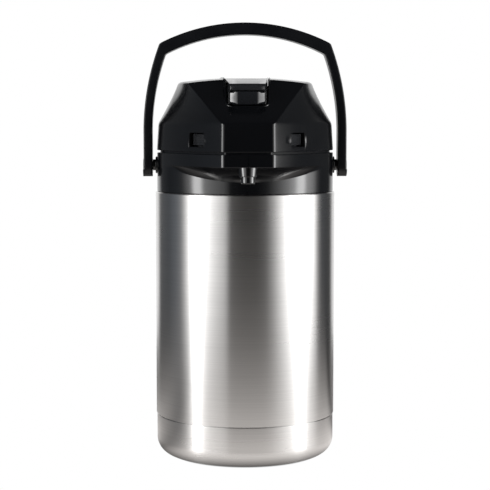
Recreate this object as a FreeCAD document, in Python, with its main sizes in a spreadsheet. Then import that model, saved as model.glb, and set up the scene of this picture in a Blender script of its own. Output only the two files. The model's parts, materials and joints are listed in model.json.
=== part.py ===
import FreeCAD, Part
import math
import os
import Sketcher

# Lever-action thermal airpot.  Millimetres, +Z up.  The origin is the centre of the
# base plate's underside; the pouring beak points towards -Y and the lid hinge is at +Y.

document = FreeCAD.newDocument("Airpot")
sheet = document.addObject("Spreadsheet::Sheet", "Sizes")
cell_names = []
nodes = []


class Size:
    """A length held as a number and as the spreadsheet expression that gives it."""

    def __init__(self, number, text):
        self.number = float(number)
        self.text = text

    def __add__(self, other):
        other = as_size(other)
        return Size(self.number + other.number, "(%s + %s)" % (self.text, other.text))

    def __sub__(self, other):
        other = as_size(other)
        return Size(self.number - other.number, "(%s - %s)" % (self.text, other.text))

    def __mul__(self, other):
        other = as_size(other)
        return Size(self.number * other.number, "(%s * %s)" % (self.text, other.text))

    def __truediv__(self, other):
        other = as_size(other)
        return Size(self.number / other.number, "(%s / %s)" % (self.text, other.text))

    def __neg__(self):
        return Size(-self.number, "(0 - %s)" % self.text)

    def __radd__(self, other):
        return as_size(other) + self

    def __rsub__(self, other):
        return as_size(other) - self

    def __rmul__(self, other):
        return as_size(other) * self


def as_size(value):
    if isinstance(value, Size):
        return value
    return Size(value, "%.9g" % value if value >= 0 else "(0 - %.9g)" % -value)


def cosine(degrees):
    return Size(math.cos(math.radians(degrees.number)), "cos(%s)" % degrees.text)


def sine(degrees):
    return Size(math.sin(math.radians(degrees.number)), "sin(%s)" % degrees.text)


def cell(alias, number):
    """Put a driving size in the spreadsheet and return it."""
    cell_names.append(alias)
    address = "A%d" % len(cell_names)
    sheet.set(address, str(number))
    sheet.setAlias(address, alias)
    return Size(number, "Sizes." + alias)


def bind(thing, path, value):
    thing.setExpression(path, as_size(value).text)


# ---- driving sizes -------------------------------------------------------------

# Flask
shell_radius = cell("shell_radius", 80)
shell_wall = cell("shell_wall", 0.8)
seam_height = cell("seam_height", 38.3)
shoulder_height = cell("shoulder_height", 237.4)
neck_foot_height = cell("neck_foot_height", 250)
neck_top_height = cell("neck_top_height", 258)
neck_radius = cell("neck_radius", 35)
liner_radius = cell("liner_radius", 70.6)
liner_wall = cell("liner_wall", 0.6)
liner_floor_height = cell("liner_floor_height", 20.2)

# Base
base_radius = cell("base_radius", 79.4)
base_round = cell("base_round", 15)
base_wall = cell("base_wall", 1)
foot_radius = cell("foot_radius", 62)
foot_proud = cell("foot_proud", 0.9)

# Collar and beak
collar_radius = cell("collar_radius", 78.7)
collar_wall = cell("collar_wall", 2.6)
collar_bottom = cell("collar_bottom", 237.6)
collar_top = cell("collar_top", 272.1)
band_bottom = cell("band_bottom", 261.4)
smile_bottom = cell("smile_bottom", 248.2)
floor_bottom = cell("floor_bottom", 252.1)
floor_top = cell("floor_top", 255)
beak_reach = cell("beak_reach", 112)
beak_half_width = cell("beak_half_width", 21.3)
beak_tangent_angle = cell("beak_tangent_angle", 25)
nozzle_reach = cell("nozzle_reach", 98)

# Lid
lid_bottom = cell("lid_bottom", 274)
lid_break_height = cell("lid_break_height", 297.7)
lid_roof_height = cell("lid_roof_height", 338.6)
lid_crest = cell("lid_crest", 338)
dome_radius = cell("dome_radius", 430)
lid_wall = cell("lid_wall", 2.5)
lid_break_radius = cell("lid_break_radius", 77.4)
lid_roof_radius = cell("lid_roof_radius", 57.9)
lid_roof_reach = cell("lid_roof_reach", 37.6)
lid_roof_half_width = cell("lid_roof_half_width", 55.7)
lid_roof_tangent_angle = cell("lid_roof_tangent_angle", -2)
ceiling_height = cell("ceiling_height", 331)
plate_top = cell("plate_top", 276.5)
hinge_reach = cell("hinge_reach", 81)
hinge_height = cell("hinge_height", 279)
hinge_pin_radius = cell("hinge_pin_radius", 2)
running_clearance = cell("running_clearance", 0.05)

# Lever and pump
notch_front = cell("notch_front", 84.7)
notch_front_half = cell("notch_front_half", 16.8)
notch_rear = cell("notch_rear", 56.5)
notch_rear_half = cell("notch_rear_half", 23.4)
lever_gap = cell("lever_gap", 1.1)
lever_pivot_reach = cell("lever_pivot_reach", 50)
lever_pivot_height = cell("lever_pivot_height", 328.3)
pusher_radius = cell("pusher_radius", 6)
bellows_radius = cell("bellows_radius", 38)
bellows_top = cell("bellows_top", 312)

# Handle
handle_pivot_height = cell("handle_pivot_height", 260.75)
handle_depth = cell("handle_depth", 19.6)
arm_outer = cell("arm_outer", 91.1)
arm_inner = cell("arm_inner", 82.6)
arm_straight_top = cell("arm_straight_top", 290)
arm_foot = cell("arm_foot", 250.5)
arm_flare = cell("arm_flare", 0.7)
arch_outer_half = cell("arch_outer_half", 75.9)
arch_outer_foot = cell("arch_outer_foot", 368.3)
arch_outer_top = cell("arch_outer_top", 386.7)
arch_inner_half = cell("arch_inner_half", 70.5)
arch_inner_foot = cell("arch_inner_foot", 358.9)
arch_inner_top = cell("arch_inner_top", 376.1)
journal_radius = cell("journal_radius", 3.5)
stub_radius = cell("stub_radius", 4.95)

# Latches
latch_across = cell("latch_across", 43.4)
latch_forward = cell("latch_forward", 82.6)
latch_angle = cell("latch_angle", 56)
latch_length = cell("latch_length", 21.8)
latch_low = cell("latch_low", 278.5)
latch_high = cell("latch_high", 289.8)

document.recompute()


# ---- outlines and features -----------------------------------------------------

def new_body(label):
    body = document.addObject("PartDesign::Body", label)
    body.Label = label
    nodes.append(body)
    return body


def sketch_on(body, name, plane, lift=0):
    sketch = body.newObject("Sketcher::SketchObject", name)
    origin_plane = [item for item in body.Origin.OriginFeatures if item.Role == plane][0]
    sketch.AttachmentSupport = [(origin_plane, "")]
    sketch.MapMode = "FlatFace"
    bind(sketch, "AttachmentOffset.Base.z", lift)
    return sketch


def arc_between(start, end, radius):
    """The shorter arc from start to end; a positive radius bulges to the right of the way."""
    chord = end - start
    half = chord.Length / 2
    drop = math.sqrt(max(radius * radius - half * half, 0.0))
    left = FreeCAD.Vector(-chord.y, chord.x, 0).normalize()
    centre = (start + end) / 2 + left * math.copysign(drop, radius)
    circle = Part.Circle(centre, FreeCAD.Vector(0, 0, 1), abs(radius))
    first = math.atan2(start.y - centre.y, start.x - centre.x)
    last = math.atan2(end.y - centre.y, end.x - centre.x)
    if radius < 0:
        first, last = last, first
    return Part.ArcOfCircle(circle, first, last if last > first else last + 2 * math.pi)


def outline(sketch, points, closed=True):
    """Draw and constrain an outline.  A point is (x, y) or (x, y, radius of the arc it starts).

    Every corner is held by its two distances from the sketch's origin."""
    corners = []
    for point in points:
        radius = as_size(point[2]) if len(point) == 3 else None
        corners.append((as_size(point[0]), as_size(point[1]), radius))
    base = sketch.GeometryCount
    count = len(corners) if closed else len(corners) - 1
    starts = []
    for index in range(count):
        near = corners[index]
        far = corners[(index + 1) % len(corners)]
        start = FreeCAD.Vector(near[0].number, near[1].number, 0)
        end = FreeCAD.Vector(far[0].number, far[1].number, 0)
        if near[2] is None:
            sketch.addGeometry(Part.LineSegment(start, end), False)
        else:
            sketch.addGeometry(arc_between(start, end, near[2].number), False)
        reverse = near[2] is not None and near[2].number < 0
        starts.append(2 if reverse else 1)
    joints = count if closed else count - 1
    for index in range(joints):
        after = (index + 1) % count
        sketch.addConstraint(Sketcher.Constraint(
            "Coincident", base + index, 3 - starts[index], base + after, starts[after]))
    for index, corner in enumerate(corners):
        piece = min(index, count - 1)
        end = starts[piece] if index == piece else 3 - starts[piece]
        for kind, value in (("DistanceX", corner[0]), ("DistanceY", corner[1])):
            number = sketch.addConstraint(Sketcher.Constraint(
                kind, -1, 1, base + piece, end, value.number))
            bind(sketch, "Constraints[%d]" % number, value)
        if corner[2] is not None and index < count:
            number = sketch.addConstraint(Sketcher.Constraint(
                "Radius", base + index, abs(corner[2].number)))
            size = corner[2] if corner[2].number > 0 else -corner[2]
            bind(sketch, "Constraints[%d]" % number, size)


def circle(sketch, x, y, radius):
    x, y, radius = as_size(x), as_size(y), as_size(radius)
    centre = FreeCAD.Vector(x.number, y.number, 0)
    index = sketch.addGeometry(Part.Circle(centre, FreeCAD.Vector(0, 0, 1), radius.number), False)
    for kind, value in (("DistanceX", x), ("DistanceY", y)):
        number = sketch.addConstraint(Sketcher.Constraint(kind, -1, 1, index, 3, value.number))
        bind(sketch, "Constraints[%d]" % number, value)
    number = sketch.addConstraint(Sketcher.Constraint("Radius", index, radius.number))
    bind(sketch, "Constraints[%d]" % number, radius)


def feature(body, kind, sketch, **settings):
    item = body.newObject("PartDesign::" + kind, "%s_%s" % (body.Label, kind))
    item.Profile = sketch
    for name, value in settings.items():
        if isinstance(value, Size):
            bind(item, name, value)
        else:
            setattr(item, name, value)
    sketch.Visibility = False
    return item


def pad(body, sketch, length, **settings):
    return feature(body, "Pad", sketch, Length=as_size(length), **settings)


def pocket(body, sketch, length, **settings):
    """Cut, and check that something was cut."""
    document.recompute()
    before = body.Shape.Volume
    cut = feature(body, "Pocket", sketch, Length=as_size(length), **settings)
    document.recompute()
    if body.Shape.Volume > before - 0.01:
        raise RuntimeError("pocket cuts nothing in " + body.Label)
    return cut


def loft(body, kind, low, high):
    item = feature(body, kind, low, Ruled=True)
    item.Sections = [high]
    high.Visibility = False
    document.recompute()
    return item


def round_edges(body, radius, chosen):
    """Round the edges of the body's last feature for which chosen(edge) is true."""
    document.recompute()
    base = body.Tip
    names = ["Edge%d" % (index + 1) for index, edge in enumerate(base.Shape.Edges) if chosen(edge)]
    if not names:
        raise RuntimeError("no edge to round in " + body.Label)
    item = body.newObject("PartDesign::Fillet", body.Label + "_Fillet")
    item.Base = (base, names)
    bind(item, "Radius", radius)
    document.recompute()
    return item


def ring_edge(radius, height, tolerance=0.02):
    """Chooses the circular edges of one radius at one height."""
    def chosen(edge):
        if not isinstance(edge.Curve, Part.Circle):
            return False
        same_height = abs(edge.CenterOfMass.z - as_size(height).number) < tolerance
        return same_height and abs(edge.Curve.Radius - as_size(radius).number) < tolerance
    return chosen


def turned(label, points, at=None, turn=None):
    """A body turned about its own Z axis from (radius, height) points."""
    body = new_body(label)
    sketch = sketch_on(body, label + "_section", "XZ_Plane")
    outline(sketch, points)
    feature(body, "Revolution", sketch, ReferenceAxis=(sketch, ["V_Axis"]), Angle=360)
    place(body, at, turn)
    return body


def place(item, at=None, turn=None):
    if turn is not None:
        axis, angle = turn
        item.Placement = FreeCAD.Placement(FreeCAD.Vector(), FreeCAD.Rotation(axis, angle))
    for name, value in zip("xyz", at or (0, 0, 0)):
        bind(item, "Placement.Base." + name, value)


X_AXIS = FreeCAD.Vector(1, 0, 0)
Y_AXIS = FreeCAD.Vector(0, 1, 0)
Z_AXIS = FreeCAD.Vector(0, 0, 1)
SIDES = (("left", -1), ("right", 1))


def beak_outline(sketch, radius, reach, half_width, angle):
    """Round back, flat front and slightly bowed flanks tangent to the round back."""
    radius, reach, half_width = as_size(radius), as_size(reach), as_size(half_width)
    across = cosine(angle)
    forward = sine(angle)
    touch_x = radius * across
    touch_y = -(radius * forward)
    run_x = half_width - touch_x
    run_y = -reach - touch_y
    bow = (run_x * run_x + run_y * run_y) / ((forward * run_y - across * run_x) * 2)
    outline(sketch, [
        (-half_width, -reach),
        (half_width, -reach, bow),
        (touch_x, touch_y, radius),
        (0, radius, radius),
        (-touch_x, touch_y, bow),
    ])


def beak_sketch(body, name, height, radius, reach, half_width, angle=beak_tangent_angle):
    sketch = sketch_on(body, name, "XY_Plane", height)
    beak_outline(sketch, radius, reach, half_width, angle)
    return sketch


# ---- flask ---------------------------------------------------------------------

def make_flask():
    """Double-walled steel bottle: shell, dished vacuum bottom and liner, joined at the neck."""
    inner = shell_radius - shell_wall
    slant = shell_wall * 1.1
    turned("outer_shell", [
        (inner, seam_height),
        (shell_radius, seam_height),
        (shell_radius, shoulder_height - 1),
        (shell_radius - 1, shoulder_height),
        (shell_radius - 3.5, shoulder_height),
        (neck_radius + 9, neck_foot_height - 3),
        (neck_radius, neck_foot_height),
        (neck_radius, neck_top_height),
        (neck_radius - shell_wall, neck_top_height),
        (neck_radius - shell_wall, neck_foot_height - slant),
        (neck_radius + 8.8, neck_foot_height - 3 - slant),
        (shell_radius - 3.7, shoulder_height - slant),
        (inner, shoulder_height - slant - 0.4),
    ])
    turned("vacuum_bottom", [
        (0, 12),
        (50, 12),
        (74, 20),
        (76.5, seam_height - 2),
        (inner - 0.1, seam_height + 0.4),
        (inner - 0.1, seam_height + 5),
        (inner - 0.1 - shell_wall, seam_height + 5),
        (inner - 0.1 - shell_wall, seam_height + 0.8),
        (75.6, seam_height - 1.6),
        (73.3, 20.6),
        (49.8, 12.8),
        (0, 12.8),
    ])
    floor = liner_floor_height
    turned("inner_liner", [
        (0, floor),
        (liner_radius - 10, floor),
        (liner_radius, floor + 10),
        (liner_radius, 222),
        (66, 230),
        (40, 243),
        (neck_radius - 1.6, 248),
        (neck_radius - 1.6, neck_top_height + 0.1),
        (neck_radius, neck_top_height + 0.1),
        (neck_radius, neck_top_height + 0.7),
        (neck_radius - 1.6 - liner_wall, neck_top_height + 0.7),
        (neck_radius - 1.6 - liner_wall, 247.6),
        (39.8, 242.3),
        (65.6, 229.4),
        (liner_radius - liner_wall, 221.8),
        (liner_radius - liner_wall, floor + 10.3),
        (liner_radius - 10.3, floor + liner_wall),
        (0, floor + liner_wall),
    ])


def make_base():
    """Steel base cup with a large rounded edge, closed by the plate that the airpot stands on."""
    lip = foot_radius - 4
    low = foot_proud
    turned("base_cup", [
        (lip, low),
        (base_radius - base_round, low, base_round),
        (base_radius, low + base_round),
        (base_radius, seam_height - 0.3),
        (base_radius - base_wall, seam_height - 0.3),
        (base_radius - base_wall, low + base_round, base_wall - base_round),
        (base_radius - base_round, low + base_wall),
        (lip, low + base_wall),
    ])
    turned("base_plate", [
        (0, 0),
        (foot_radius + 1, 0),
        (foot_radius + 1, low - 0.1),
        (lip - 0.1, low - 0.1),
        (lip - 0.1, low + base_wall + 0.1),
        (foot_radius, low + base_wall + 0.1),
        (foot_radius, low + base_wall + 2),
        (0, low + base_wall + 2),
    ])


# ---- collar --------------------------------------------------------------------

def make_collar():
    """Black collar: skirt round the flask's shoulder, floor, beak, hinge ears and pivot bosses."""
    collar = new_body("collar")
    skirt = sketch_on(collar, "collar_skirt", "XY_Plane", collar_bottom)
    circle(skirt, 0, 0, collar_radius)
    pad(collar, skirt, band_bottom - collar_bottom)
    low = beak_sketch(collar, "beak_root", smile_bottom, 50, 79.5, 9)
    high = beak_sketch(collar, "beak_edge", band_bottom, collar_radius, beak_reach, beak_half_width)
    loft(collar, "AdditiveLoft", low, high)
    band = beak_sketch(collar, "band", band_bottom, collar_radius, beak_reach, beak_half_width)
    pad(collar, band, collar_top - band_bottom)
    round_edges(collar, 2.4, beak_corner(band_bottom, collar_top))

    for side, sign in SIDES:
        boss = sketch_on(collar, "boss_" + side, "YZ_Plane", sign * (collar_radius - 3))
        circle(boss, 0, handle_pivot_height, 7.5)
        pad(collar, boss, 4.3, Reversed=sign < 0)

    ears = sketch_on(collar, "ears", "YZ_Plane")
    outline(ears, [
        (collar_radius - 2, 258),
        (collar_radius, 258),
        (hinge_reach + 5, hinge_height - 8),
        (hinge_reach + 5, hinge_height, 5),
        (hinge_reach, hinge_height + 5, 5),
        (hinge_reach - 5, hinge_height),
        (hinge_reach - 5, hinge_height - 6.6),
        (collar_radius - 2, hinge_height - 6.6),
    ])
    pad(collar, ears, 40, Midplane=True)
    gap = sketch_on(collar, "knuckle_gap", "YZ_Plane")
    outline(gap, [
        (hinge_reach - 8, collar_top),
        (hinge_reach + 9, collar_top),
        (hinge_reach + 9, hinge_height + 9),
        (hinge_reach - 8, hinge_height + 9),
    ])
    pocket(collar, gap, 25, Midplane=True)

    wall = collar_wall
    room = beak_sketch(collar, "room", collar_top, collar_radius - wall,
                       beak_reach - wall, beak_half_width - 1.9)
    pocket(collar, room, collar_top - band_bottom - 2.2)
    high = beak_sketch(collar, "room_edge", band_bottom + 2.3, collar_radius - wall,
                       beak_reach - wall, beak_half_width - 1.9)
    low = beak_sketch(collar, "room_root", smile_bottom + 3, 50, 77, 8)
    cut_loft(collar, high, low)
    well = sketch_on(collar, "well", "XY_Plane", collar_top)
    circle(well, 0, 0, collar_radius - wall)
    pocket(collar, well, collar_top - floor_top)
    under = sketch_on(collar, "under", "XY_Plane", collar_bottom)
    circle(under, 0, 0, collar_radius - wall)
    pocket(collar, under, floor_bottom - collar_bottom, Reversed=True)
    mouth = sketch_on(collar, "mouth", "XY_Plane", collar_top)
    circle(mouth, 0, 0, neck_radius + 1)
    circle(mouth, 0, -nozzle_reach, 8.45)
    pocket(collar, mouth, collar_top - collar_bottom)
    bores = sketch_on(collar, "pivot_bores", "YZ_Plane")
    circle(bores, 0, handle_pivot_height, stub_radius + running_clearance)
    pocket(collar, bores, 2 * collar_radius + 20, Midplane=True)
    pin_bore = sketch_on(collar, "hinge_bore", "YZ_Plane")
    circle(pin_bore, hinge_reach, hinge_height, hinge_pin_radius + running_clearance)
    pocket(collar, pin_bore, 60, Midplane=True)


def cut_loft(body, high, low):
    document.recompute()
    before = body.Shape.Volume
    loft(body, "SubtractiveLoft", high, low)
    if body.Shape.Volume > before - 1:
        raise RuntimeError("loft cuts nothing in " + body.Label)


def beak_corner(low, high):
    """Chooses the two upright edges at the front corners of the beak."""
    def chosen(edge):
        middle = edge.CenterOfMass
        at_front = middle.y < -beak_reach.number + 4
        at_corner = abs(abs(middle.x) - beak_half_width.number) < 1.5
        between = as_size(low).number < middle.z < as_size(high).number
        return at_front and at_corner and between and edge.Length > 5
    return chosen


# ---- pouring parts ---------------------------------------------------------------

SIPHON_FORWARD = 20
PIPE_HEIGHT = 266
PIPE_RADIUS = 4.5
PIPE_BEND = 5


def make_pouring_parts():
    """Siphon tube, its sleeve, the pouring pipe over the neck, and the nozzle."""
    turned("siphon_tube", [(4.7, 24.5), (5.5, 24.5), (5.5, 250), (4.7, 250)],
           at=(0, -SIPHON_FORWARD, 0))
    turned("siphon_sleeve", [(5.6, 240), (7.4, 240), (7.4, 250.3), (4.6, 253), (4.6, 250.3), (5.6, 250.3)],
           at=(0, -SIPHON_FORWARD, 0))

    pipe = new_body("pouring_pipe")
    way = sketch_on(pipe, "pipe_way", "YZ_Plane")
    rear = as_size(-SIPHON_FORWARD)
    front = -nozzle_reach
    outline(way, [
        (rear, 246),
        (rear, PIPE_HEIGHT - PIPE_BEND, PIPE_BEND),
        (rear - PIPE_BEND, PIPE_HEIGHT),
        (front + PIPE_BEND, PIPE_HEIGHT, PIPE_BEND),
        (front, PIPE_HEIGHT - PIPE_BEND),
        (front, 252.5),
    ], closed=False)
    section = sketch_on(pipe, "pipe_section", "XY_Plane", 246)
    circle(section, 0, rear, PIPE_RADIUS)
    circle(section, 0, rear, PIPE_RADIUS - 1.1)
    feature(pipe, "AdditivePipe", section, Spine=(way, []))

    ring = turned("nozzle_ring", [
        (6.25, 253.4),
        (7.5, 253.4),
        (8.35, 261.2),
        (8.35, 263.6),
        (10.4, 263.6),
        (10.4, 264.6),
        (6.25, 264.6),
    ], at=(0, -nozzle_reach, 0))
    passage = sketch_on(ring, "pipe_passage", "XZ_Plane")
    circle(passage, 0, PIPE_HEIGHT, PIPE_RADIUS + 0.1)
    pocket(ring, passage, 15)
    tip = turned("nozzle_tip", [
        (3.2, 247.5),
        (6.1, 247.5),
        (6.1, 261),
        (4.6, 261),
        (4.6, 252.4),
        (3.2, 252.4),
    ], at=(0, -nozzle_reach, 0))
    round_edges(tip, 2.6, ring_edge(6.1, 247.5))


def make_neck_parts():
    """Ring that clamps the collar to the flask's neck, and the gasket under the collar's floor."""
    ring = turned("neck_ring", [
        (neck_radius + 0.3, floor_top + 0.1),
        (46, floor_top + 0.1),
        (46, 257.6),
        (38.5, 257.6),
        (38.5, 271.4),
        (33, 271.4),
        (33, 259),
        (neck_radius + 0.3, 259),
    ])
    slot = sketch_on(ring, "pipe_hole", "XZ_Plane")
    circle(slot, 0, PIPE_HEIGHT, PIPE_RADIUS + 0.1)
    pocket(ring, slot, 60, Reversed=True)
    turned("flask_gasket", [
        (neck_radius + 0.2, neck_foot_height + 0.5),
        (43, neck_foot_height + 0.5),
        (43, floor_bottom - 0.1),
        (neck_radius + 0.2, floor_bottom - 0.1),
    ])


# ---- lid -------------------------------------------------------------------------

def make_lid_shell():
    """Faceted lid: draughted wall, leaning flanks, slanted front plane and shallow dome."""
    blank = document.addObject("PartDesign::Body", "lid_blank")
    wall = lid_wall
    low_radius = collar_radius + 0.1
    foot = beak_sketch(blank, "lid_foot", lid_bottom, low_radius, beak_reach, beak_half_width)
    brow = beak_sketch(blank, "lid_brow", lid_break_height, lid_break_radius,
                       beak_reach - 0.3, beak_half_width - 0.2)
    loft(blank, "AdditiveLoft", foot, brow)
    brow = beak_sketch(blank, "lid_brow_again", lid_break_height, lid_break_radius,
                       beak_reach - 0.3, beak_half_width - 0.2)
    roof = beak_sketch(blank, "lid_roof", lid_roof_height, lid_roof_radius, lid_roof_reach,
                       lid_roof_half_width, lid_roof_tangent_angle)
    loft(blank, "AdditiveLoft", brow, roof)

    above = sketch_on(blank, "above_dome", "XZ_Plane")
    rim = 90
    sag = dome_radius.number - math.sqrt(dome_radius.number ** 2 - rim ** 2)
    outline(above, [
        (0, lid_crest),
        (0, lid_crest + 30),
        (rim, lid_crest + 30),
        (rim, lid_crest - sag, dome_radius),
    ])
    feature(blank, "Groove", above, ReferenceAxis=(above, ["V_Axis"]), Angle=360)
    document.recompute()

    foot = beak_sketch(blank, "room_foot", lid_bottom - 1, low_radius - wall,
                       beak_reach - wall, beak_half_width - 1.8)
    brow = beak_sketch(blank, "room_brow", lid_break_height - 0.6, lid_break_radius - wall,
                       beak_reach - wall - 0.4, beak_half_width - 2)
    cut_loft(blank, foot, brow)
    brow = beak_sketch(blank, "room_brow_again", lid_break_height - 0.6, lid_break_radius - wall,
                       beak_reach - wall - 0.4, beak_half_width - 2)
    rise = (ceiling_height - lid_break_height) / (lid_roof_height - lid_break_height)
    roof = beak_sketch(blank, "room_roof", ceiling_height,
                       lid_break_radius - wall - (lid_break_radius - lid_roof_radius) * rise,
                       beak_reach - 5.2 - (beak_reach - lid_roof_reach) * rise,
                       beak_half_width - 2.5 + (lid_roof_half_width - beak_half_width) * rise,
                       beak_tangent_angle - (beak_tangent_angle - lid_roof_tangent_angle) * rise)
    cut_loft(blank, brow, roof)

    notch = sketch_on(blank, "notch", "XY_Plane", lid_crest + 5)
    corner = 5
    outline(notch, [
        (-notch_front_half + corner, -notch_front),
        (notch_front_half - corner, -notch_front, corner),
        (notch_front_half + 0.3, -notch_front + corner),
        (notch_rear_half, notch_rear),
        (-notch_rear_half, notch_rear),
        (-notch_front_half - 0.3, -notch_front + corner, corner),
    ])
    pocket(blank, notch, 40)

    lugs = sketch_on(blank, "lever_lugs", "YZ_Plane")
    outline(lugs, [
        (lever_pivot_reach - 5, lever_pivot_height - 5),
        (lever_pivot_reach + 5, lever_pivot_height - 5),
        (lever_pivot_reach + 5, ceiling_height + 1),
        (lever_pivot_reach - 5, ceiling_height + 1),
    ])
    pad(blank, lugs, 2 * notch_rear_half + 9, Midplane=True)
    between = sketch_on(blank, "between_lugs", "YZ_Plane")
    outline(between, [
        (lever_pivot_reach - 6, lever_pivot_height - 6),
        (lever_pivot_reach + 5.5, lever_pivot_height - 6),
        (lever_pivot_reach + 5.5, lid_crest + 5),
        (lever_pivot_reach - 6, lid_crest + 5),
    ])
    pocket(blank, between, 2 * notch_rear_half - 0.4, Midplane=True)
    lever_bore = sketch_on(blank, "lever_bore", "YZ_Plane")
    circle(lever_bore, lever_pivot_reach, lever_pivot_height, hinge_pin_radius + running_clearance)
    pocket(blank, lever_bore, 2 * notch_rear_half + 12, Midplane=True)

    bosses = sketch_on(blank, "screw_bosses", "XY_Plane", plate_top + 0.1)
    for x, y in SCREW_PLACES:
        circle(bosses, x, y, 4)
    pad(blank, bosses, ceiling_height - plate_top)
    holes = sketch_on(blank, "screw_holes", "XY_Plane", plate_top + 0.1)
    for x, y in SCREW_PLACES:
        circle(holes, x, y, SCREW_RADIUS + 0.05)
    pocket(blank, holes, 12, Reversed=True)

    room = sketch_on(blank, "ear_room", "YZ_Plane")
    outline(room, [
        (hinge_reach - 8, lid_bottom - 2),
        (hinge_reach + 9, lid_bottom - 2),
        (hinge_reach + 9, hinge_height + 6),
        (hinge_reach - 8, hinge_height + 6),
    ])
    pocket(blank, room, 42, Midplane=True)
    knuckle = sketch_on(blank, "knuckle", "YZ_Plane")
    outline(knuckle, [
        (hinge_reach - 6.4, hinge_height - 2),
        (hinge_reach, hinge_height - 4.6, 4.6),
        (hinge_reach + 4.6, hinge_height, 4.6),
        (hinge_reach, hinge_height + 4.6),
        (hinge_reach - 3.6, hinge_height + 7),
        (hinge_reach - 6.4, hinge_height + 7),
    ])
    pad(blank, knuckle, 23, Midplane=True)
    hinge_bore = sketch_on(blank, "lid_hinge_bore", "YZ_Plane")
    circle(hinge_bore, hinge_reach, hinge_height, hinge_pin_radius + running_clearance)
    pocket(blank, hinge_bore, 30, Midplane=True)

    openings = []
    for side, sign in SIDES:
        opening = document.addObject("Part::Box", "latch_opening_" + side)
        bind(opening, "Length", latch_length)
        bind(opening, "Width", 16)
        bind(opening, "Height", latch_high - latch_low)
        turn_latch(opening, sign, -latch_length / 2, -4, latch_low)
        openings.append(opening)
    shape = blank
    for opening in openings:
        cut = document.addObject("Part::Cut", "lid_shell_cut")
        cut.Base = shape
        cut.Tool = opening
        shape = cut
    shape.Label = "lid_shell"
    nodes.append(shape)


def turn_latch(item, sign, along, inward, height):
    """Place an item whose X runs along a flank and whose Y points into the lid there."""
    angle = sign * latch_angle.number
    item.Placement = FreeCAD.Placement(FreeCAD.Vector(), FreeCAD.Rotation(Z_AXIS, angle))
    along, inward = as_size(along), as_size(inward)
    bind(item, "Placement.Base.x", sign * latch_across + along * cosine(latch_angle)
         - sign * inward * sine(latch_angle))
    bind(item, "Placement.Base.y", -latch_forward + sign * along * sine(latch_angle)
         + inward * cosine(latch_angle))
    bind(item, "Placement.Base.z", height)


SCREW_PLACES = ((-56, 16), (56, 16), (-34, 47), (34, 47))
SCREW_RADIUS = 1.5


def make_lid_parts():
    """Underside plate with its lip, sealing gasket, air valve disc, screws and pins."""
    plate = new_body("lid_plate")
    inset = 4.9
    lip_bottom = 271.4
    outer = beak_sketch(plate, "plate_edge", lip_bottom, collar_radius - inset,
                        beak_reach - inset, beak_half_width - 3.7)
    pad(plate, outer, plate_top - lip_bottom)
    hollow = beak_sketch(plate, "lip_inside", lip_bottom, collar_radius - inset - 2,
                         beak_reach - inset - 2, beak_half_width - 5.2)
    pocket(plate, hollow, lid_bottom - lip_bottom, Reversed=True)
    holes = sketch_on(plate, "plate_holes", "XY_Plane", plate_top)
    circle(holes, 0, 0, 7)
    for x, y in SCREW_PLACES:
        circle(holes, x, y, SCREW_RADIUS + 0.1)
    pocket(plate, holes, plate_top - lip_bottom)
    shape = plate
    nodes.remove(plate)
    for side, sign in SIDES:
        slot = document.addObject("Part::Box", "hook_slot_" + side)
        bind(slot, "Length", 11)
        bind(slot, "Width", 7.5)
        bind(slot, "Height", 10)
        turn_latch(slot, sign, -5.5, HOOK_INWARD - 0.6, 269)
        cut = document.addObject("Part::Cut", "lid_plate_cut")
        cut.Base = shape
        cut.Tool = slot
        shape = cut
    plate.Label = "lid_plate_blank"
    shape.Label = "lid_plate"
    nodes.append(shape)

    turned("lid_gasket", [(33.2, 271.7), (37.6, 271.7), (37.6, lid_bottom - 0.1), (33.2, lid_bottom - 0.1)])
    turned("valve_disc", [(0, 272.3), (11, 272.3), (11, lid_bottom - 0.1), (0, lid_bottom - 0.1)])

    screws = []
    for index, (x, y) in enumerate(SCREW_PLACES):
        shank = document.addObject("Part::Cylinder", "screw_shank_%d" % index)
        bind(shank, "Radius", SCREW_RADIUS)
        bind(shank, "Height", 13)
        place(shank, (x, y, 273.8))
        head = document.addObject("Part::Cylinder", "screw_head_%d" % index)
        bind(head, "Radius", 3)
        bind(head, "Height", 1.8)
        place(head, (x, y, 272))
        screw = document.addObject("Part::Fuse", "screw_%d" % index)
        screw.Base = shank
        screw.Tool = head
        screws.append(screw)
    group = document.addObject("Part::Compound", "lid_screws")
    group.Links = screws
    group.Label = "lid_screws"
    nodes.append(group)

    for label, half, reach, height in (
            ("hinge_pin", as_size(20), hinge_reach, hinge_height),
            ("lever_pin", notch_rear_half + 4.4, lever_pivot_reach, lever_pivot_height)):
        pin = document.addObject("Part::Cylinder", label)
        pin.Label = label
        bind(pin, "Radius", hinge_pin_radius)
        bind(pin, "Height", 2 * half)
        place(pin, (-half, reach, height), (Y_AXIS, 90))
        nodes.append(pin)


# ---- pump ------------------------------------------------------------------------

BELLOWS_FOLDS = 5
BELLOWS_WALL = 1.3
FOLD_DEPTH = 6


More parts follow.
